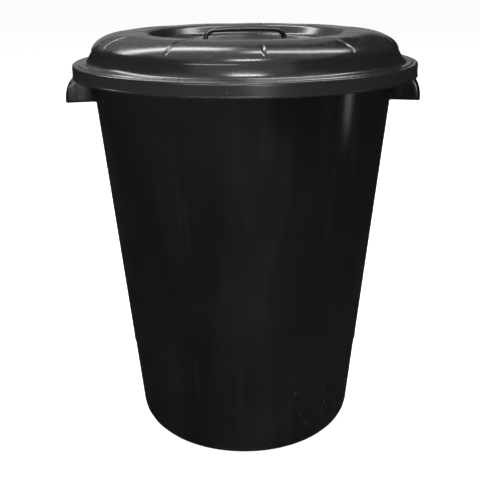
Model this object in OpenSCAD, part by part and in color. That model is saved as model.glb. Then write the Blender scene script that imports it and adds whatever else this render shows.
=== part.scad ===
// Round tapered utility drum with a loose domed lid.
// Origin: centre of the foot ring, on the floor. +Z up, side handles on +X and -X.

/* [Bin] */
// Height of the bin, from the floor to the top of its rim
bin_h = 618; // [560:1:680]
// Radius at which the tapered wall would meet the floor
bin_foot_r = 182.5; // [160:0.5:190]
// How far the wall flares out for each mm that it rises
wall_flare = 0.0885; // [0.06:0.0005:0.095]
// Wall thickness
wall_t = 3; // [2.5:0.1:4]
// Radius of the rounded edge at the foot
foot_round = 30; // [16:1:40]
// Width of the ring that the bin stands on
foot_ring_w = 9; // [6:1:14]
// How far the floor is raised inside the foot ring
floor_lift = 6; // [3:0.5:10]
// Height of the faint step around the lower wall
step_z = 151; // [100:1:250]
// Depth of that step
step_d = 0.8; // [0.2:0.1:1.5]

/* [Rim and side handles] */
// Outer radius of the rim
rim_r = 262; // [256:0.5:262]
// Thickness of the rim
rim_t = 3; // [2.5:0.1:3.5]
// Depth of the rim's turned-down lip
lip_h = 18.5; // [14:0.5:18.5]
// How far a side handle stands out past the rim
handle_out = 17; // [10:0.5:20]
// Depth of a side handle below the lip
handle_drop = 36; // [28:1:50]
// Half of the angle that a side handle spans
handle_half_angle = 13; // [9:0.5:18]
// Thickness of a side handle
handle_t = 3.2; // [2.5:0.1:4]

/* [Lid] */
// How far the lid is turned on the bin
lid_turn = 6; // [0:1:90]
// How far the lid sits to one side, within its play on the rim
lid_shift = 3.5; // [0:0.5:3.5]
// Outer radius of the lid's skirt
lid_r = 270; // [270:0.5:280]
// Depth of the skirt, from the ledge down
skirt_h = 20.6; // [16:0.2:21]
// Thickness of the lid
lid_t = 2.6; // [2.2:0.1:3]
// Radius at the foot of the dome
dome_r = 249; // [242:1:250]
// Height of the dome above the ledge
dome_h = 43; // [36:1:60]
// Radius at which the dome's top flattens out
crest_r = 190; // [172:1:200]
// Radius of the sunken pan in the middle of the dome
pan_r = 151; // [130:1:155]
// Depth of the pan below the top of the dome
pan_depth = 15; // [12:1:34]
// Number of radial creases in the dome
creases = 11; // [6:1:16]
// Depth of a crease
crease_d = 1; // [0.4:0.1:1.4]
// Width of a crease
crease_w = 3; // [1.5:0.5:6]

/* [Lid grip] */
// Length of the grip across the pan
grip_l = 132; // [100:1:150]
// Width of the grip
grip_w = 26; // [18:1:34]
// Thickness of the grip's bar
grip_t = 8; // [5:0.5:10]
// How far the grip rises above the top of the dome
grip_rise = 8; // [0:0.5:10]

/* [Hidden] */
$fn = 120;

BIN_COLOUR = [0.10, 0.10, 0.11];
LID_COLOUR = [0.16, 0.16, 0.17];
ARC_STEPS = 8;

FOOT_SLOPE = 7;              // width of the slope inside the foot ring
MOUTH_ROUND = 7;             // rounding from the wall to the rim
HANDLE_FOOT = 3;             // height of the handle's upright lower edge
POCKET_PAST = 5;             // how far a cutting shape runs past what it cuts
SEAT_GAP = 0.3;              // air between the rim and the lid that rests on it
SKIRT_T = 3;                 // thickness of the skirt
SKIRT_DRAFT = 0.8;           // how much narrower the skirt is at its top
SKIRT_TOP = 4;               // depth of the skirt's top below the ledge
LEDGE_ROUND = 3.2;           // rounding from the ledge to the skirt
LEDGE_BEAD = 0.8;            // height of the raised band on the ledge
DOME_STEPS = 12;
DOME_POWER = 1.9;            // squareness of the dome's section, 2 for an ellipse
SHOULDER_UP = 17;            // height of the dome's upright foot
SHOULDER_IN = 10;            // how far that foot leans in
PAN_LIP = 9;                 // rounding between the dome and the pan
PAN_CORNER = 9;              // rounding at the foot of the pan's side
PAN_SLOPE = 50;              // steepness of the pan's side
GRIP_BEND = 18;              // rounding at the ends of the grip

// Heights and radii of the bin
floor_join_z = foot_round + 12;        // where the floor moulding becomes the wall
rim_join_z = bin_h - MOUTH_ROUND;      // where the wall becomes the rim
rim_under_z = bin_h - rim_t;           // underside of the rim
lip_z = bin_h - lip_h;                 // underside of the rim's lip
lean = atan(wall_flare);
foot_c = bin_foot_r + wall_flare * foot_round - foot_round / cos(lean);
ring_r = foot_c - foot_ring_w;         // inner radius of the foot ring

// Heights of the lid
ledge_z = bin_h + SEAT_GAP + lid_t;    // top of the ledge
under_z = ledge_z - lid_t;             // underside of the ledge
skirt_top_z = ledge_z - SKIRT_TOP;
shoulder_z = ledge_z + SHOULDER_UP;
top_z = ledge_z + dome_h;              // top of the dome
pan_z = top_z - pan_depth;
edge_r = lid_r - SKIRT_DRAFT;          // radius of the ledge's edge
shoulder_r = dome_r - SHOULDER_IN;

// Section through the top of the lid, from the foot of the dome to its middle
dome_curve = [for (i = [0:DOME_STEPS]) let (t = 90 * i / DOME_STEPS)
    [crest_r + (shoulder_r - crest_r) * pow(cos(t), 2 / DOME_POWER),
    shoulder_z + (top_z - shoulder_z) * pow(sin(t), 2 / DOME_POWER)]];
pan_side_h = pan_depth - (PAN_LIP + PAN_CORNER) * (1 - cos(PAN_SLOPE));
pan_side_w = pan_side_h / tan(PAN_SLOPE) + (PAN_LIP + PAN_CORNER) * sin(PAN_SLOPE);
pan_lip = arc([pan_r + PAN_LIP, top_z - PAN_LIP], PAN_LIP, 90, 90 + PAN_SLOPE);
pan_corner = arc([pan_r + PAN_LIP - pan_side_w, pan_z + PAN_CORNER], PAN_CORNER, PAN_SLOPE - 90, -90);
dome_foot = [[dome_r, ledge_z], [dome_r - 0.4 * SHOULDER_IN, ledge_z + 0.6 * SHOULDER_UP]];
lid_path = concat(dome_foot, dome_curve, pan_lip, pan_corner, [[0, pan_z]]);
crest_end = len(dome_foot) + len(dome_curve);  // where the side of the pan begins
side_end = len(lid_path) - 2;          // where the floor of the pan begins

// Outer radius of the bin's wall at height z
function wall_r(z) = bin_foot_r + wall_flare * z + (z > step_z ? step_d : 0);

// Points on an arc about c, from angle a to angle b
function arc(c, r, a, b, n = ARC_STEPS) =
    [for (i = [0:n]) let (t = a + (b - a) * i / n) c + r * [cos(t), sin(t)]];

function unit(v) = v / norm(v);
function left_of(v) = [-v[1], v[0]];

// The same path, moved d to its left
function beside(path, d) =
    [for (i = [0:len(path) - 1])
        let (
            before = path[max(i - 1, 0)],
            after = path[min(i + 1, len(path) - 1)],
            u = i == 0 ? unit(after - path[i]) : unit(path[i] - before),
            v = i == len(path) - 1 ? u : unit(after - path[i]),
            mid = unit(left_of(u) + left_of(v))
        )
        path[i] + mid * d / (mid * left_of(u))];

function backwards(path) = [for (i = [len(path) - 1:-1:0]) path[i]];
function part_of(path, a, b) = [for (i = [a:b]) path[i]];

// The floor stands on a ring, and its outer edge is rounded up into the wall
module bin_floor() {
    slope_r = ring_r - FOOT_SLOPE;
    underside = [[0, floor_lift], [slope_r, floor_lift], [ring_r, 0]];
    corner = arc([foot_c, foot_round], foot_round, -90, -lean);
    join = wall_r(floor_join_z);
    inner_corner = arc([foot_c, foot_round], foot_round - wall_t, -lean, -90);
    inside = [[ring_r, wall_t], [slope_r, floor_lift + wall_t], [0, floor_lift + wall_t]];
    color(BIN_COLOUR)
    rotate_extrude()
    polygon(concat(underside, corner, [[join, floor_join_z], [join - wall_t, floor_join_z]],
        inner_corner, inside));
}

module bin_wall() {
    outside = [[wall_r(floor_join_z), floor_join_z], [wall_r(step_z), step_z],
        [wall_r(step_z + 1), step_z + 1], [wall_r(rim_join_z), rim_join_z]];
    color(BIN_COLOUR)
    rotate_extrude()
    polygon(concat(outside, [for (p = backwards(outside)) p - [wall_t, 0]]));
}

// The rim turns outwards from the wall, with a rounded mouth
module bin_rim() {
    mouth_r = wall_r(rim_join_z) - wall_t;
    color(BIN_COLOUR)
    rotate_extrude()
    polygon(concat(
        arc([mouth_r + MOUTH_ROUND, rim_join_z], MOUTH_ROUND, 180, 90),
        arc([rim_r - rim_t, rim_under_z], rim_t, 90, 0),
        [[wall_r(rim_under_z), rim_under_z], [wall_r(rim_join_z), rim_join_z]]));
}

// The lip hangs from the outer edge of the rim
module rim_lip() {
    color(BIN_COLOUR)
    rotate_extrude()
    polygon([[rim_r - rim_t, lip_z], [rim_r, lip_z], [rim_r, rim_under_z], [rim_r - rim_t, rim_under_z]]);
}

// A lug under the rim, open below so that fingers reach up behind its apron
module side_handle() {
    bottom_z = lip_z - handle_drop;
    shoulder_bottom_z = bottom_z + HANDLE_FOOT;
    shoulder = [for (i = [0:ARC_STEPS]) let (t = 90 * i / ARC_STEPS)
        [rim_r + handle_out * cos(t), shoulder_bottom_z + (lip_z - shoulder_bottom_z) * sin(t)]];
    end_angle = asin(handle_t / rim_r);
    pocket_r = wall_r(bottom_z) - POCKET_PAST;
    outline = concat(
        [[wall_r(bottom_z), bottom_z], [rim_r + handle_out, bottom_z]], shoulder,
        [[rim_r - rim_t, lip_z], [rim_r - rim_t, rim_under_z], [wall_r(rim_under_z), rim_under_z],
        [wall_r(rim_join_z), rim_join_z]]);
    pocket = concat(
        [[pocket_r, bottom_z - 1], [rim_r + handle_out - handle_t, bottom_z - 1]],
        beside(shoulder, handle_t),
        [[rim_r - rim_t, lip_z - handle_t], [rim_r - rim_t, lip_z], [rim_r - 1, lip_z],
        [rim_r - 1, bin_h], [pocket_r, bin_h]]);
    color(BIN_COLOUR)
    difference() {
        rotate([0, 0, -handle_half_angle])
        rotate_extrude(angle = 2 * handle_half_angle)
        polygon(outline);
        rotate([0, 0, end_angle - handle_half_angle])
        rotate_extrude(angle = 2 * (handle_half_angle - end_angle))
        polygon(pocket);
    }
}

module handle_right() side_handle();
module handle_left() rotate([0, 0, 180]) side_handle();

// Puts a part of the lid where the lid lies on the bin
module seated_lid() translate([lid_shift, 0, 0]) rotate([0, 0, lid_turn]) children();

// The skirt hangs around the rim's lip
module lid_skirt() {
    skirt_z = ledge_z - skirt_h;
    color(LID_COLOUR)
    seated_lid()
    rotate_extrude()
    polygon([[lid_r - SKIRT_T, skirt_z], [lid_r, skirt_z], [edge_r, skirt_top_z],
        [edge_r - SKIRT_T, skirt_top_z]]);
}

// The flat ledge rests on the rim
module lid_ledge() {
    band_r = rim_r - 2.5;
    color(LID_COLOUR)
    seated_lid()
    rotate_extrude()
    polygon(concat(
        arc([edge_r - LEDGE_ROUND, ledge_z - 0.5 - LEDGE_ROUND], LEDGE_ROUND, 0, 90),
        [[band_r + 1.5, ledge_z - 0.4], [band_r, ledge_z + LEDGE_BEAD], [dome_r + 3, ledge_z + LEDGE_BEAD],
        [dome_r, ledge_z], [dome_r, under_z], [edge_r - SKIRT_T - 0.3, under_z],
        [edge_r - SKIRT_T, skirt_top_z], [edge_r, skirt_top_z]]));
}

// The domed ring around the pan, with shallow radial creases in its top
module lid_dome() {
    dome = part_of(lid_path, 0, crest_end);
    creased = part_of(lid_path, 4, crest_end + 1);
    color(LID_COLOUR)
    seated_lid()
    difference() {
        rotate_extrude()
        polygon(concat(dome, backwards(part_of(beside(lid_path, lid_t), 1, crest_end)),
            [[dome_r - lid_t, under_z], [dome_r, under_z]]));
        intersection() {
            rotate_extrude()
            polygon(concat(beside(creased, crease_d), backwards(beside(creased, -2))));
            for (i = [0:creases - 1])
            rotate([0, 0, -90 + 360 * i / creases])
            translate([pan_r, -crease_w / 2, pan_z])
            cube([lid_r - pan_r, crease_w, pan_depth + 10]);
        }
    }
}

// A length of the lid's section, turned about the axis
module lid_ring(first, last) {
    color(LID_COLOUR)
    seated_lid()
    rotate_extrude()
    polygon(concat(part_of(lid_path, first, last),
        backwards(part_of(beside(lid_path, lid_t), first, last))));
}

module pan_side() lid_ring(crest_end, side_end);
module pan_floor() lid_ring(side_end, side_end + 1);

// A flat bar on two legs, with room for the fingers between it and the pan
module lid_grip() {
    bend = [grip_l / 2 - GRIP_BEND, top_z + grip_rise - GRIP_BEND];
    outside = concat([[grip_l / 2, pan_z]], arc(bend, GRIP_BEND, 0, 90));
    inside = concat([[grip_l / 2 - grip_t, pan_z]], arc(bend, GRIP_BEND - grip_t, 0, 90));
    color(LID_COLOUR)
    seated_lid()
    rotate([90, 0, 0])
    linear_extrude(grip_w, center = true)
    polygon(concat(outside, [for (p = backwards(outside)) [-p[0], p[1]]],
        [for (p = inside) [-p[0], p[1]]], backwards(inside)));
}

bin_floor();
bin_wall();
bin_rim();
rim_lip();
handle_left();
handle_right();
lid_skirt();
lid_ledge();
lid_dome();
pan_side();
pan_floor();
lid_grip();
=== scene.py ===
from math import atan, cos, hypot, pi, radians, sin, tan

import bmesh
import bpy
from mathutils import Matrix, Vector


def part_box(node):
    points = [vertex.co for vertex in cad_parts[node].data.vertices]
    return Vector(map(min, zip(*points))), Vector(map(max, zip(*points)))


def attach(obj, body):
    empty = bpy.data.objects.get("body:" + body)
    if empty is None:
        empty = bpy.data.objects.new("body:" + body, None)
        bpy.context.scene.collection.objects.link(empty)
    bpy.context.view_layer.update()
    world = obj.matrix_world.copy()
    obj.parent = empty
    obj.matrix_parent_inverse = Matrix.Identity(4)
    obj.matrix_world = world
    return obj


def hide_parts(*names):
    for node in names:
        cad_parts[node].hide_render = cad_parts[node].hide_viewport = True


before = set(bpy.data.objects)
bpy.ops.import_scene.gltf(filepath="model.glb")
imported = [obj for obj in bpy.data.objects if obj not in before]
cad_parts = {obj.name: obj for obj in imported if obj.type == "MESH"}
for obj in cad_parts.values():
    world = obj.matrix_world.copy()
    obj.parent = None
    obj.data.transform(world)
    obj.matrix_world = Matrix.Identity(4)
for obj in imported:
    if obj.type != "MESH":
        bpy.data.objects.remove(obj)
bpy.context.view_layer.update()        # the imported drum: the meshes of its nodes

MM = 0.001


# ---------------------------------------------------------------------------------------------
# Camera: at table height in front of the drum, looking down at its middle, with the horizon all
# but level. A slight shift of the lens sets the drum just to the right of the picture's middle.

EYE = Vector((0, -1208.5, 750)) * MM
LOOK_DOWN = radians(19.79)
HORIZON_TILT = radians(-0.44)
LENS = 55.7
SENSOR = 36
LENS_SHIFT = -0.0084

camera = bpy.data.objects.new("camera", bpy.data.cameras.new("camera"))
bpy.context.collection.objects.link(camera)
camera.data.sensor_width = SENSOR
camera.data.lens = LENS
camera.data.shift_x = LENS_SHIFT
camera.matrix_world = (Matrix.Translation(EYE) @ Matrix.Rotation(pi / 2 - LOOK_DOWN, 4, "X")
                       @ Matrix.Rotation(HORIZON_TILT, 4, "Z"))
bpy.context.scene.camera = camera


# ---------------------------------------------------------------------------------------------
# Studio: a plain pale floor with no edge in view, and soft boxes around and above the drum. No
# gloss surface mirrors the floor, and the sky is white to the camera but dim in the plastic, so
# that what the plastic mirrors is mostly the boxes.

bpy.context.scene.view_settings.view_transform = "Standard"


def new_material(name):
    material = bpy.data.materials.new(name)
    material.use_nodes = True
    tree = material.node_tree
    shader = tree.nodes["Principled BSDF"]
    return material, tree, shader


def soft_box(name, place, aim, width, height, brightness, shape="RECTANGLE"):
    """A flat light; its brightness is what a mirror would show of it."""
    light = bpy.data.lights.new(name, "AREA")
    light.shape = shape
    light.size = width
    light.size_y = height
    light.energy = brightness * pi * width * height
    box = bpy.data.objects.new(name, light)
    box.location = place
    box.rotation_euler = (Vector(aim) - Vector(place)).to_track_quat("-Z", "Y").to_euler()
    bpy.context.collection.objects.link(box)


FLOOR_RADIUS = 40
FLOOR_SIDES = 96
FLOOR_GLOW = 0.95
PALE = (0.9, 0.9, 0.9, 1)
DIM = (0.015, 0.015, 0.015, 1)
WHITE = (1, 1, 1, 1)
RIM_MIDDLE = (0, 0, 0.6)

floor_shape = bmesh.new()
bmesh.ops.create_circle(floor_shape, cap_ends=True, segments=FLOOR_SIDES, radius=FLOOR_RADIUS)
floor_mesh = bpy.data.meshes.new("studio_floor")
floor_shape.to_mesh(floor_mesh)
floor_shape.free()
floor = bpy.data.objects.new("studio_floor", floor_mesh)
bpy.context.collection.objects.link(floor)
floor.visible_glossy = False
floor_paint, floor_tree, floor_shader = new_material("pale_floor")
floor_shader.inputs["Base Color"].default_value = PALE
floor_shader.inputs["Roughness"].default_value = 0.9
floor_shader.inputs["Specular IOR Level"].default_value = 0
floor_shader.inputs["Emission Color"].default_value = WHITE
floor_shader.inputs["Emission Strength"].default_value = FLOOR_GLOW
floor_mesh.materials.append(floor_paint)

world = bpy.data.worlds.new("studio")
bpy.context.scene.world = world
world.use_nodes = True
sky = world.node_tree
seen = sky.nodes.new("ShaderNodeLightPath")
sky_colour = sky.nodes.new("ShaderNodeMix")
sky_colour.data_type = "RGBA"
sky_colour.inputs["A"].default_value = DIM
sky_colour.inputs["B"].default_value = WHITE
sky.links.new(seen.outputs["Is Camera Ray"], sky_colour.inputs["Factor"])
sky.links.new(sky_colour.outputs["Result"], sky.nodes["Background"].inputs["Color"])

# Above and behind, for the bright lines along the dome, and a faint light from all over.
soft_box("left_strip", (-1.95, 1.45, 3.0), (-1.95, 0, 0.65), 3.4, 0.6, 12)
soft_box("right_strip", (1.05, 0.55, 3.0), (1.28, -0.45, 0.65), 2.1, 0.5, 12)
soft_box("overhead_fill", (0, 0, 3.6), RIM_MIDDLE, 6, 4, 0.8)
soft_box("back_fill", (-1.0, 3.0, 2.4), RIM_MIDDLE, 4.0, 2.0, 0.28)
soft_box("back_low", (-0.2, 3.2, 0.9), RIM_MIDDLE, 2.6, 0.5, 0.42)

# In front, for the spots on the dome's foot and shoulder and the glow on the skirt.
soft_box("front_fill", (0, -3.4, 2.6), RIM_MIDDLE, 5, 3, 0.7)
soft_box("front_lamp", (0.02, -1.75, 2.65), RIM_MIDDLE, 0.85, 0.26, 42)
soft_box("low_window", (-1.1, -2.8, 0.98), (0, 0, 0.64), 1.7, 0.22, 20)
soft_box("doorway", (0.45, -2.9, 0.57), RIM_MIDDLE, 0.75, 0.24, 15)
soft_box("door_glow", (0.5, -3.1, 0.60), RIM_MIDDLE, 2.2, 0.4, 1.5)

# Low down, for the wall: a spot on the right, and two patches of light on the floor in front. Each
# patch is a nest of ellipses, so that it fades out to its edge.
soft_box("right_floor", (2.0, -0.31, 0.06), (0.1, 0, 0.6), 0.16, 0.16, 3)
NEST = (1.0, 0.86, 0.72, 0.58, 0.44, 0.3)
BAND_PLACE = (-0.02, -0.92, 0.01)
BAND_AIM = (-0.02, -0.92, 1)
POOL_PLACE = (-0.75, -1.35, 0.02)
POOL_AIM = (-0.75, -1.35, 1)
for size in NEST:
    soft_box("floor_band", BAND_PLACE, BAND_AIM, 0.46 * size, 1.5 * size, 0.035, "ELLIPSE")
    soft_box("floor_pool", POOL_PLACE, POOL_AIM, 2.9 * size, 2.0 * size, 0.028, "ELLIPSE")


# ---------------------------------------------------------------------------------------------
# The bin: one injection moulding in black polypropylene, drafted so that it leaves its mould. It
# has a rounded foot with a standing ring, a tapered wall with a fine beaded step low down, and a
# rim turned out and down to stiffen the mouth.

def rounded(corners, steps=6, hold=0.8 * MM):
    """The path through (radius, height, rounding) corners, with an arc at each rounded one.

    A point on the straight at the hold's distance from each arc keeps the shading crisp there.
    """
    path = []
    for i, (r, z, rounding) in enumerate(corners):
        here = Vector((r, z))
        if rounding == 0:
            path.append(here)
            continue
        before = (Vector(corners[i - 1][:2]) - here).normalized()
        after = (Vector(corners[i + 1][:2]) - here).normalized()
        half = before.angle(after) / 2
        centre = here + (before + after).normalized() * rounding / sin(half)
        start = here + before * rounding / tan(half) - centre
        end = here + after * rounding / tan(half) - centre
        turn = -start.angle_signed(end)
        path.append(centre + start + before * hold)
        path += [centre + Matrix.Rotation(turn * k / steps, 2) @ start for k in range(steps + 1)]
        path.append(centre + end + after * hold)
    return path


def closely(path, spacing):
    """The same path, with no stretch longer than the spacing."""
    close = [path[0]]
    for a, b in zip(path, path[1:]):
        pieces = max(1, round((b - a).length / spacing))
        close += [a.lerp(b, k / pieces) for k in range(1, pieces + 1)]
    return close


def section_edges(bm, path):
    """Lays a path of (radius, height) points in the XZ plane and returns its vertices and edges."""
    points = [bm.verts.new((p.x, 0, p.y)) for p in path]
    return points + [bm.edges.new(pair) for pair in zip(points, points[1:])]


MERGE = 0.01 * MM
SHARP_ANGLE = radians(50)


def finished(name, bm, material, body, nodes):
    """Closes a moulding's seams and poles, shades it smooth and puts it on its body."""
    bmesh.ops.remove_doubles(bm, verts=bm.verts, dist=MERGE)
    bmesh.ops.recalc_face_normals(bm, faces=bm.faces)
    for face in bm.faces:
        face.smooth = True
    mesh = bpy.data.meshes.new(name)
    bm.to_mesh(mesh)
    bm.free()
    mesh.set_sharp_from_angle(angle=SHARP_ANGLE)
    mesh.materials.append(material)
    piece = bpy.data.objects.new(name, mesh)
    bpy.context.collection.objects.link(piece)
    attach(piece, body)
    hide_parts(*nodes)


def add_node(tree, kind, settings=(), **inputs):
    """Adds a node; each input takes a value, or another node's output to be linked to."""
    made = tree.nodes.new("ShaderNode" + kind)
    for setting, value in settings:
        setattr(made, setting, value)
    for label, value in inputs.items():
        socket = made.inputs[int(label[1:]) if label[0] == "_" else label.replace("_", " ")]
        if isinstance(value, bpy.types.NodeSocket):
            tree.links.new(value, socket)
        else:
            socket.default_value = value
    return made


def calculate(tree, operation, first, second, third=0.0):
    """One sum on values or outputs; the third is used by MULTIPLY_ADD alone."""
    made = add_node(tree, "Math", [("operation", operation)], _0=first, _1=second, _2=third)
    return made.outputs[0]


def between(tree, value, low, high):
    """0 where the value is below low, 1 where it is above high, and a smooth rise between."""
    made = add_node(tree, "MapRange", [("interpolation_type", "SMOOTHSTEP")],
                    Value=value, From_Min=low, From_Max=high)
    return made.outputs["Result"]


def tinted(tree, amount, below, above):
    """The colour below where the amount is 0, turning to the colour above at 1."""
    made = add_node(tree, "Mix", [("data_type", "RGBA")], Factor=amount, A=below, B=above)
    return made.outputs["Result"]


GREY_FILM = (0.05, 0.05, 0.048, 1)
PALE_DUST = (0.30, 0.29, 0.27, 1)
RUB_LOW = 0.03
RUB_HIGH = 0.20


def moulded_surface():
    """The skin of a gloss moulding: its swell and peel, its draw marks, haze, scuffs and dust."""
    group = bpy.data.node_groups.new("moulded_surface", "ShaderNodeTree")
    sockets = group.interface
    sockets.new_socket("Colour", in_out="INPUT", socket_type="NodeSocketColor")
    for label in ("Roughness", "Haze", "Draw Marks", "Scuffs", "Dust", "Low Scuffs"):
        sockets.new_socket(label, in_out="INPUT", socket_type="NodeSocketFloat")
    sockets.new_socket("Colour", in_out="OUTPUT", socket_type="NodeSocketColor")
    sockets.new_socket("Roughness", in_out="OUTPUT", socket_type="NodeSocketFloat")
    sockets.new_socket("Height", in_out="OUTPUT", socket_type="NodeSocketFloat")
    given = group.nodes.new("NodeGroupInput").outputs
    place = group.nodes.new("ShaderNodeTexCoord").outputs["Object"]
    outwards = group.nodes.new("ShaderNodeNewGeometry").outputs["Normal"]

    def noise(scale, detail=2.0, stretch=(1, 1, 1), turn=(0, 0, 0)):
        spread = add_node(group, "Mapping", Vector=place, Scale=stretch, Rotation=turn)
        made = add_node(group, "TexNoise", Vector=spread.outputs[0], Scale=scale, Detail=detail)
        return made.outputs["Fac"]

    # Left by the mould: a hazy gloss, upright draw marks, a slow swell and a fine peel.
    haze = calculate(group, "SUBTRACT", noise(9, 3), 0.5)
    streaks = calculate(group, "SUBTRACT", noise(48, 3, (1, 1, 0.04)), 0.5)
    fine_streaks = calculate(group, "SUBTRACT", noise(210, 2, (1, 1, 0.03)), 0.5)
    swell = noise(8, 1, (1, 1, 0.55))
    peel = noise(330, 2)

    # Left by handling: crossed scratches in worn patches, and more of them near the floor.
    scratches = between(group, noise(9, 2, (1, 22, 9), (0.4, 0.2, 0.9)), 0.66, 0.72)
    cross_scratches = between(group, noise(11, 2, (20, 1, 12), (0.3, 0.8, 0.2)), 0.67, 0.73)
    lines = calculate(group, "MAXIMUM", scratches, cross_scratches)
    worn = between(group, noise(7, 3), 0.50, 0.66)
    height = add_node(group, "SeparateXYZ", Vector=place).outputs["Z"]
    near_floor = calculate(group, "SUBTRACT", 1.0, between(group, height, RUB_LOW, RUB_HIGH))
    rubbed = calculate(group, "MULTIPLY_ADD", near_floor, given["Low Scuffs"],
                       calculate(group, "MULTIPLY", worn, given["Scuffs"]))
    scuffs = calculate(group, "MULTIPLY", lines, calculate(group, "MINIMUM", rubbed, 1.0))

    # Left by standing about: a thin film, wiped down in streaks, and dust on what faces up.
    film = calculate(group, "MULTIPLY", between(group, noise(5, 3, (1, 1, 0.6)), 0.40, 0.70), given["Haze"])
    wiped = between(group, noise(60, 2, (1, 1, 0.02)), 0.52, 0.72)
    wiped = calculate(group, "MULTIPLY", wiped, given["Draw Marks"])
    lying = between(group, add_node(group, "SeparateXYZ", Vector=outwards).outputs["Z"], 0.35, 0.95)
    specks = between(group, noise(120, 5), 0.40, 0.78)
    settled = calculate(group, "MULTIPLY", specks, noise(6, 3))
    dust = calculate(group, "MULTIPLY", calculate(group, "MULTIPLY", lying, settled), given["Dust"])

    greyed = calculate(group, "MULTIPLY_ADD", wiped, 0.12, calculate(group, "MULTIPLY", film, 0.6))
    filmed = tinted(group, greyed, given["Colour"], GREY_FILM)
    marked = tinted(group, calculate(group, "MULTIPLY", scuffs, 0.25), filmed, GREY_FILM)
    dusted = tinted(group, dust, marked, PALE_DUST)

    rough = calculate(group, "MULTIPLY_ADD", haze, given["Haze"], given["Roughness"])
    rough = calculate(group, "MULTIPLY_ADD", streaks, given["Draw Marks"], rough)
    rough = calculate(group, "MULTIPLY_ADD", scuffs, 0.25, rough)
    rough = calculate(group, "MULTIPLY_ADD", dust, 0.5, rough)

    relief = calculate(group, "MULTIPLY_ADD", peel, 0.012, calculate(group, "MULTIPLY", swell, 0.9))
    drawn = calculate(group, "MULTIPLY_ADD", fine_streaks, 0.25, streaks)
    drawn = calculate(group, "MULTIPLY", drawn, given["Draw Marks"])
    relief = calculate(group, "MULTIPLY_ADD", drawn, 0.5, relief)
    relief = calculate(group, "MULTIPLY_ADD", scuffs, -0.02, relief)

    result = group.nodes.new("NodeGroupOutput").inputs
    group.links.new(dusted, result["Colour"])
    group.links.new(rough, result["Roughness"])
    group.links.new(relief, result["Height"])
    return group


surface = moulded_surface()
PLASTIC_IOR = 1.49


def gloss_plastic(name, colour, roughness, **amounts):
    """A gloss moulding; the shared surface gives its heights in millimetres."""
    material, tree, shader = new_material(name)
    skin = tree.nodes.new("ShaderNodeGroup")
    skin.node_tree = surface
    skin.inputs["Colour"].default_value = (*colour, 1)
    skin.inputs["Roughness"].default_value = roughness
    for label, amount in amounts.items():
        skin.inputs[label.replace("_", " ")].default_value = amount
    bump = add_node(tree, "Bump", Height=skin.outputs["Height"], Distance=MM)
    tree.links.new(skin.outputs["Colour"], shader.inputs["Base Color"])
    tree.links.new(skin.outputs["Roughness"], shader.inputs["Roughness"])
    tree.links.new(bump.outputs["Normal"], shader.inputs["Normal"])
    shader.inputs["IOR"].default_value = PLASTIC_IOR
    return material


bin_plastic = gloss_plastic("bin_plastic", (0.0036, 0.0036, 0.0034), 0.15,
                            Haze=0.10, Draw_Marks=0.30, Scuffs=0.35, Low_Scuffs=0.4, Dust=0.03)

WALL = 3 * MM
FOOT_ROUND = 30 * MM
FOOT_RING = 9 * MM
FOOT_SLOPE = 7 * MM
FLOOR_LIFT = 6 * MM
STEP_HEIGHT = 151 * MM
STEP_DEPTH = 0.8 * MM
STEP_BEAD = 0.5 * MM
STEP_ROUND = 0.5 * MM
MOUTH_ROUND = 7 * MM
LIP_EDGE = 1.2 * MM
EASED = 4 * MM
BIN_SPACING = 22 * MM
ROUND_STEPS = 180

foot_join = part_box("bin_floor")[1]
wall_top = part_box("bin_wall")[1]
rim_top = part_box("bin_rim")[1]
lip_low, lip_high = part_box("rim_lip")
flare = (wall_top.x - STEP_DEPTH - foot_join.x) / (wall_top.z - foot_join.z)
foot_radius = foot_join.x - flare * foot_join.z
foot_centre = foot_radius + flare * FOOT_ROUND - FOOT_ROUND / cos(atan(flare))
ring_radius = foot_centre - FOOT_RING


def wall_radius(z):
    return foot_radius + flare * z + (STEP_DEPTH if z > STEP_HEIGHT else 0)


# From the pole under the floor, out and up the outside, over the rim and down the inside.
bead_height = STEP_HEIGHT + MM
step_end = STEP_HEIGHT + 2.4 * MM
bin_section = closely(rounded([
    (0, FLOOR_LIFT, 0),
    (ring_radius - FOOT_SLOPE, FLOOR_LIFT, EASED),
    (ring_radius, 0, 2 * MM),
    (foot_radius, 0, FOOT_ROUND),
    (wall_radius(STEP_HEIGHT), STEP_HEIGHT, STEP_ROUND),
    (wall_radius(bead_height) + STEP_BEAD, bead_height, 0.6 * MM),
    (wall_radius(step_end), step_end, 0.8 * MM),
    (wall_radius(lip_high.z), lip_high.z, EASED),
    (lip_high.x - WALL, lip_high.z, 2 * MM),
    (lip_high.x - WALL, lip_low.z, LIP_EDGE),
    (lip_high.x, lip_low.z, LIP_EDGE),
    (lip_high.x, rim_top.z, 3 * MM),
    (wall_top.x - WALL, rim_top.z, MOUTH_ROUND),
    (foot_radius - WALL, WALL, FOOT_ROUND - WALL),
    (ring_radius, WALL, EASED),
    (ring_radius - FOOT_SLOPE, FLOOR_LIFT + WALL, EASED),
    (0, FLOOR_LIFT + WALL, 0),
], hold=0.3 * MM), BIN_SPACING)

bin_shape = bmesh.new()
bmesh.ops.spin(bin_shape, geom=section_edges(bin_shape, bin_section), cent=(0, 0, 0), axis=(0, 0, 1),
               angle=2 * pi, steps=ROUND_STEPS, use_merge=True)
finished("bin_moulding", bin_shape, bin_plastic, "bin",
         ["bin_floor", "bin_wall", "bin_rim", "rim_lip"])


# ---------------------------------------------------------------------------------------------
# Side handles: two lugs moulded with the rim, one on each side. Each is a hood that flares out
# under the rim's lip, shut at its ends and open below, so that the fingers reach up behind it.

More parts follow.
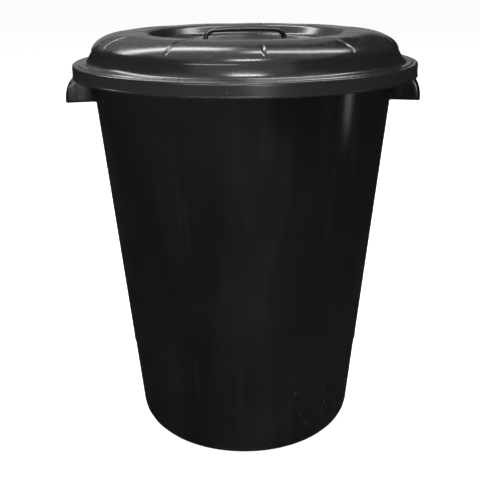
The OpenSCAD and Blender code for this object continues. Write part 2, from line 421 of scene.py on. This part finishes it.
HANDLE_WALL = 3.2 * MM
HANDLE_SPAN = radians(26)
HANDLE_FOOT = 3 * MM
APRON_STEPS = 20
SHOULDER_STEPS = 12
END_STEPS = 4
QUARTER_STEPS = 5
END_ROUND = 5 * MM
FILLET = 8 * MM
SINK = 1 * MM
LOWER_EDGE = 0.8 * MM
LOWER_EDGE_STEPS = 3
CORNER_ANGLE = radians(60)
AT_FOOT = 0.3 * MM
LIP_MIDDLE = lip_high.x - WALL / 2


def turned(bm, verts, angle):
    """Turns part of a mesh about the drum's axis."""
    bmesh.ops.rotate(bm, verts=verts, cent=(0, 0, 0), matrix=Matrix.Rotation(angle, 3, "Z"))


def hood_outline(outer, inner):
    """One level of the hood seen from above, from the wall, round the apron and back to the wall."""
    quarter = [pi / 2 * k / QUARTER_STEPS for k in range(QUARTER_STEPS + 1)]
    end = [Vector((inner + FILLET * (1 - cos(t)), FILLET * (1 - sin(t)))) for t in quarter]
    corner = [Vector((outer - END_ROUND * (1 - sin(t)), END_ROUND * (cos(t) - 1))) for t in quarter]
    plate = [end[-1].lerp(corner[0], k / END_STEPS) for k in range(1, END_STEPS)]
    half = [Matrix.Rotation(HANDLE_SPAN / 2, 2) @ point for point in end + plate + corner]
    swing = HANDLE_SPAN - 2 * END_ROUND / outer
    apron = [Vector((outer * cos(a), outer * sin(a)))
             for a in (swing * (0.5 - k / APRON_STEPS) for k in range(1, APRON_STEPS))]
    return half + apron + [Vector((point.x, -point.y)) for point in half[::-1]]


def handle_hood(name):
    """The hood of the right-hand handle, with the height and reach of a handle's node.

    It is built up level by level, from its foot to inside the rim's lip, and then given its wall.
    """
    low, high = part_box(name)
    reach = max(abs(low.x), abs(high.x)) - lip_high.x
    shoulder = low.z + HANDLE_FOOT
    rise = lip_low.z - shoulder
    levels = [Vector((lip_high.x + reach, low.z))]
    levels += [Vector((lip_high.x + reach * cos(t), shoulder + rise * sin(t)))
               for t in (pi / 2 * k / SHOULDER_STEPS for k in range(SHOULDER_STEPS))]
    levels += [Vector((LIP_MIDDLE, lip_low.z)), Vector((LIP_MIDDLE, high.z + SINK))]
    bm = bmesh.new()
    points = [bm.verts.new((0, 0, 0)) for _ in hood_outline(levels[0].x, wall_radius(levels[0].y))]
    edges = [bm.edges.new(pair) for pair in zip(points, points[1:])]
    for i, level in enumerate(levels):
        if i > 0:
            grown = bmesh.ops.extrude_edge_only(bm, edges=edges)["geom"]
            edges = [part for part in grown if isinstance(part, bmesh.types.BMEdge)]
            points = [part for part in grown if isinstance(part, bmesh.types.BMVert)]
        for vert, place in zip(points, hood_outline(level.x, wall_radius(level.y) - SINK)):
            vert.co = (place.x, place.y, level.y)
    bmesh.ops.recalc_face_normals(bm, faces=bm.faces)
    if max(bm.faces, key=lambda face: face.calc_center_median().x).normal.x < 0:
        bmesh.ops.reverse_faces(bm, faces=bm.faces)
    bmesh.ops.solidify(bm, geom=bm.faces[:], thickness=HANDLE_WALL)
    bmesh.ops.recalc_face_normals(bm, faces=bm.faces)
    bm.normal_update()
    lower = [edge for edge in bm.edges if edge.calc_face_angle(0) > CORNER_ANGLE
             and all(abs(vert.co.z - low.z) < AT_FOOT for vert in edge.verts)]
    bmesh.ops.bevel(bm, geom=lower, offset=LOWER_EDGE, segments=LOWER_EDGE_STEPS, profile=0.5,
                    affect="EDGES", material=-1)
    return bm


for name, turn in (("handle_right", 0), ("handle_left", pi)):
    hood = handle_hood(name)
    turned(hood, hood.verts, turn)
    finished(name + "_lug", hood, bin_plastic, "bin", [name])


# ---------------------------------------------------------------------------------------------
# The lid: one loose moulding of the same plastic. Its ledge lies on the rim and its skirt hangs
# round the lip, and radial creases stiffen the domed ring around a sunken pan.

LID_TURN = radians(6)
LID_WALL = 2.6 * MM
SKIRT_WALL = 3 * MM
SKIRT_DRAFT = 0.8 * MM
LEDGE_BEAD = 0.8 * MM
BEAD_HEIGHT = 3 * MM
BEAD_DEPTH = 0.8 * MM
CREST_RADIUS = 190 * MM
SHOULDER_UP = 17 * MM
SHOULDER_IN = 10 * MM
DOME_POWER = 1.9
DOME_STEPS = 28
PAN_RADIUS = 151 * MM
PAN_SLOPE = radians(50)
PAN_LIP = 9 * MM
PAN_CORNER = 9 * MM

FOOT_FILLET = 9 * MM
LEDGE_DIP = 0.4 * MM
OUTER_ROUND = 3 * MM
SKIRT_EDGE = 1 * MM
LID_SPACING = 12 * MM

CREASES = 11
CREASE_DEPTH = 1.3 * MM
CREASE_HALF_WIDTH = 2.6 * MM
CREASE_START = 158 * MM
CREASE_END = 236 * MM
CREASE_SWELL = 0.6 * MM
BESIDE_CREASE = (0, 0.25, 0.5, 0.8, 1.15, 1.6, 2.3, 3.4, 5, 7.5, 11)

# The lid's black is about three times lighter than the bin's, though it is the same plastic: painted light
# for the lamps above the lid.
lid_plastic = gloss_plastic("lid_plastic", (0.011, 0.011, 0.011), 0.20,
                            Haze=0.12, Draw_Marks=0.0, Scuffs=0.6, Low_Scuffs=0.0, Dust=0.12)

skirt_low, skirt_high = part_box("lid_skirt")
dome_low, dome_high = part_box("lid_dome")
ledge_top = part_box("lid_ledge")[1].z - LEDGE_BEAD
pan_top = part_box("pan_floor")[1].z
crest = dome_high.z
skirt_radius = (skirt_high.x - skirt_low.x) / 2
dome_radius = (dome_high.x - dome_low.x) / 2
lid_centre = Vector((skirt_high.x + skirt_low.x, skirt_high.y + skirt_low.y, 0)) / 2
rim_edge = lip_high.x


def seat(bm, turn):
    """Turns a part of the lid and moves it to where the lid lies on the rim."""
    turned(bm, bm.verts, turn)
    bmesh.ops.translate(bm, verts=bm.verts, vec=lid_centre)


def beside(path, distance):
    """The same path, moved sideways by a distance, to the left of its direction."""
    moved = []
    for i, here in enumerate(path):
        before = path[max(i - 1, 0)]
        after = path[min(i + 1, len(path) - 1)]
        along = (after - before).normalized()
        moved.append(here + Vector((-along.y, along.x)) * distance)
    return moved


shoulder_radius = dome_radius - SHOULDER_IN
shoulder_height = ledge_top + SHOULDER_UP
dome = [Vector((CREST_RADIUS + (shoulder_radius - CREST_RADIUS) * sin(t) ** (2 / DOME_POWER),
                shoulder_height + (crest - shoulder_height) * cos(t) ** (2 / DOME_POWER)))
        for t in (radians(90 * k / DOME_STEPS) for k in range(DOME_STEPS + 1))]
pan_edge = PAN_RADIUS + PAN_LIP * (1 - tan(PAN_SLOPE / 2))
pan = rounded([
    (0, pan_top, 0),
    (pan_edge - (crest - pan_top) / tan(PAN_SLOPE), pan_top, PAN_CORNER),
    (pan_edge, crest, PAN_LIP),
    (CREST_RADIUS, crest, 0)])[:-1]
ledge_edge = ledge_top - LEDGE_DIP
bead_top = skirt_low.z + BEAD_HEIGHT
foot = rounded([
    (shoulder_radius, shoulder_height, 0),
    (dome_radius, ledge_top, FOOT_FILLET),
    (rim_edge - 2.5 * MM, ledge_top + LEDGE_BEAD, 0.8 * MM),
    (rim_edge - 1 * MM, ledge_edge, 0.6 * MM),
    (skirt_radius - SKIRT_DRAFT, ledge_edge, OUTER_ROUND),
    (skirt_radius - BEAD_DEPTH, bead_top, 0.4 * MM),
    (skirt_radius, bead_top - BEAD_DEPTH, 0.8 * MM),
    (skirt_radius, skirt_low.z, SKIRT_EDGE),
    (skirt_radius - SKIRT_WALL, skirt_low.z, SKIRT_EDGE),
    (skirt_radius - SKIRT_DRAFT - SKIRT_WALL, ledge_top - LID_WALL, 2 * MM),
    (dome_radius + 2 * MM, ledge_top - LID_WALL, 0)])[1:]
over = pan + dome
under = beside(over, -LID_WALL)
under[0].x = 0
lid_section = closely(over + foot + under[::-1], LID_SPACING)


# One crease's share of the lid, with its columns of points close together beside the crease, is
# repeated all the way round.
lid_shape = bmesh.new()
ahead = [*BESIDE_CREASE, 180 / CREASES]
columns = [radians(a) for a in [-a for a in ahead[:0:-1]] + ahead]
first = section_edges(lid_shape, lid_section)
turned(lid_shape, lid_shape.verts, columns[0])
edges = [part for part in first if isinstance(part, bmesh.types.BMEdge)]
for here, there in zip(columns, columns[1:]):
    grown = bmesh.ops.extrude_edge_only(lid_shape, edges=edges)["geom"]
    edges = [part for part in grown if isinstance(part, bmesh.types.BMEdge)]
    points = [part for part in grown if isinstance(part, bmesh.types.BMVert)]
    turned(lid_shape, points, there - here)
sector = lid_shape.verts[:] + lid_shape.edges[:] + lid_shape.faces[:]
bmesh.ops.spin(lid_shape, geom=sector, cent=(0, 0, 0), axis=(0, 0, 1), angle=2 * pi, steps=CREASES,
               use_duplicate=True)
bmesh.ops.remove_doubles(lid_shape, verts=lid_shape.verts, dist=MERGE)
bmesh.ops.recalc_face_normals(lid_shape, faces=lid_shape.faces)
lid_shape.normal_update()


def smooth_step(low, high, value):
    """0 where the value is below low, 1 where it is above high, and a smooth rise between."""
    t = min(max((value - low) / (high - low), 0), 1)
    return t * t * (3 - 2 * t)


# Each crease is a V cut that runs out at both ends, in a dome that swells a little towards it.
pitch = 2 * pi / CREASES
moves = []
for vert in lid_shape.verts:
    radius = hypot(vert.co.x, vert.co.y)
    if vert.co.z < ledge_top or radius < CREASE_START - 4 * MM:
        continue
    bearing = Vector((vert.co.x, vert.co.y)).angle_signed(Vector((1, 0)), 0)
    from_crease = (bearing + pitch / 2) % pitch - pitch / 2
    aside = abs(radius * sin(from_crease))
    groove = CREASE_DEPTH * max(0, 1 - aside / CREASE_HALF_WIDTH)
    groove *= smooth_step(CREASE_START - 3 * MM, CREASE_START + 3 * MM, radius)
    groove *= 1 - smooth_step(CREASE_END - 6 * MM, CREASE_END, radius)
    swell = CREASE_SWELL * cos(pi * from_crease / pitch)
    swell *= smooth_step(CREASE_START, CREASE_START + 20 * MM, radius)
    swell *= 1 - smooth_step(CREASE_END - 12 * MM, dome_radius, radius)
    outwards = vert.normal if vert.normal.z >= 0 else -vert.normal
    moves.append((vert, outwards * (swell - groove)))
for vert, move in moves:
    vert.co += move

seat(lid_shape, LID_TURN - pi / 2)
finished("lid_moulding", lid_shape, lid_plastic, "lid",
         ["lid_skirt", "lid_ledge", "lid_dome", "pan_side", "pan_floor"])


# ---------------------------------------------------------------------------------------------
# Lid grip: a flat rounded bar across the pan, moulded with the lid and crowned a little along its
# length. It stands on two legs that spread into the pan's floor, and the fingers go below it.

GRIP_LENGTH = 132 * MM
GRIP_WIDTH = 26 * MM
GRIP_THICKNESS = 8 * MM
GRIP_BEND = 18 * MM
GRIP_SIDES = 28
GRIP_CROWN = 2.5 * MM
GRIP_SINK = 0.5 * MM
GRIP_SPACING = 3 * MM
BEND_STEPS = 10
LEG_SPREAD = 6 * MM

grip_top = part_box("lid_grip")[1].z
bend = GRIP_BEND - GRIP_THICKNESS / 2
span = GRIP_LENGTH / 2 - GRIP_THICKNESS / 2
middle = grip_top - GRIP_THICKNESS / 2
foot_height = pan_top - GRIP_SINK
grip_line = closely(rounded([
    (-span, foot_height, 0),
    (-span, middle, bend),
    (span, middle, bend),
    (span, foot_height, 0)], steps=BEND_STEPS), GRIP_SPACING)
for point in grip_line:
    up_the_leg = (point.y - foot_height) / (middle - foot_height)
    point.y -= GRIP_CROWN * (point.x / span) ** 2 * up_the_leg

grip_shape = bmesh.new()
bmesh.ops.create_circle(grip_shape, segments=GRIP_SIDES, radius=0.5)
bmesh.ops.scale(grip_shape, verts=grip_shape.verts, vec=(GRIP_WIDTH, GRIP_THICKNESS, 1))


def station(i):
    """Where the grip's section stands at a point of its line, and how far it spreads there."""
    before = grip_line[max(i - 1, 0)]
    after = grip_line[min(i + 1, len(grip_line) - 1)]
    along = (after - before).normalized()
    here = grip_line[i]
    height = min(max((here.y - pan_top) / LEG_SPREAD, 0), 1)
    spread = LEG_SPREAD * (1 - (1 - (1 - height) ** 2) ** 0.5)
    place = Matrix((
        (0, -along.y, along.x, here.x),
        (1, 0, 0, 0),
        (0, along.x, along.y, here.y),
        (0, 0, 0, 1)))
    size = Matrix.Diagonal((1 + 2 * spread / GRIP_WIDTH, 1 + 2 * spread / GRIP_THICKNESS, 1, 1))
    return place @ size


edges = grip_shape.edges[:]
bmesh.ops.transform(grip_shape, verts=grip_shape.verts[:], matrix=station(0))
for i in range(1, len(grip_line)):
    grown = bmesh.ops.extrude_edge_only(grip_shape, edges=edges)["geom"]
    edges = [part for part in grown if isinstance(part, bmesh.types.BMEdge)]
    points = [part for part in grown if isinstance(part, bmesh.types.BMVert)]
    bmesh.ops.transform(grip_shape, verts=points, matrix=station(i) @ station(i - 1).inverted())
bmesh.ops.holes_fill(grip_shape, edges=grip_shape.edges[:], sides=0)
seat(grip_shape, LID_TURN)
finished("lid_grip_bar", grip_shape, lid_plastic, "lid", ["lid_grip"])
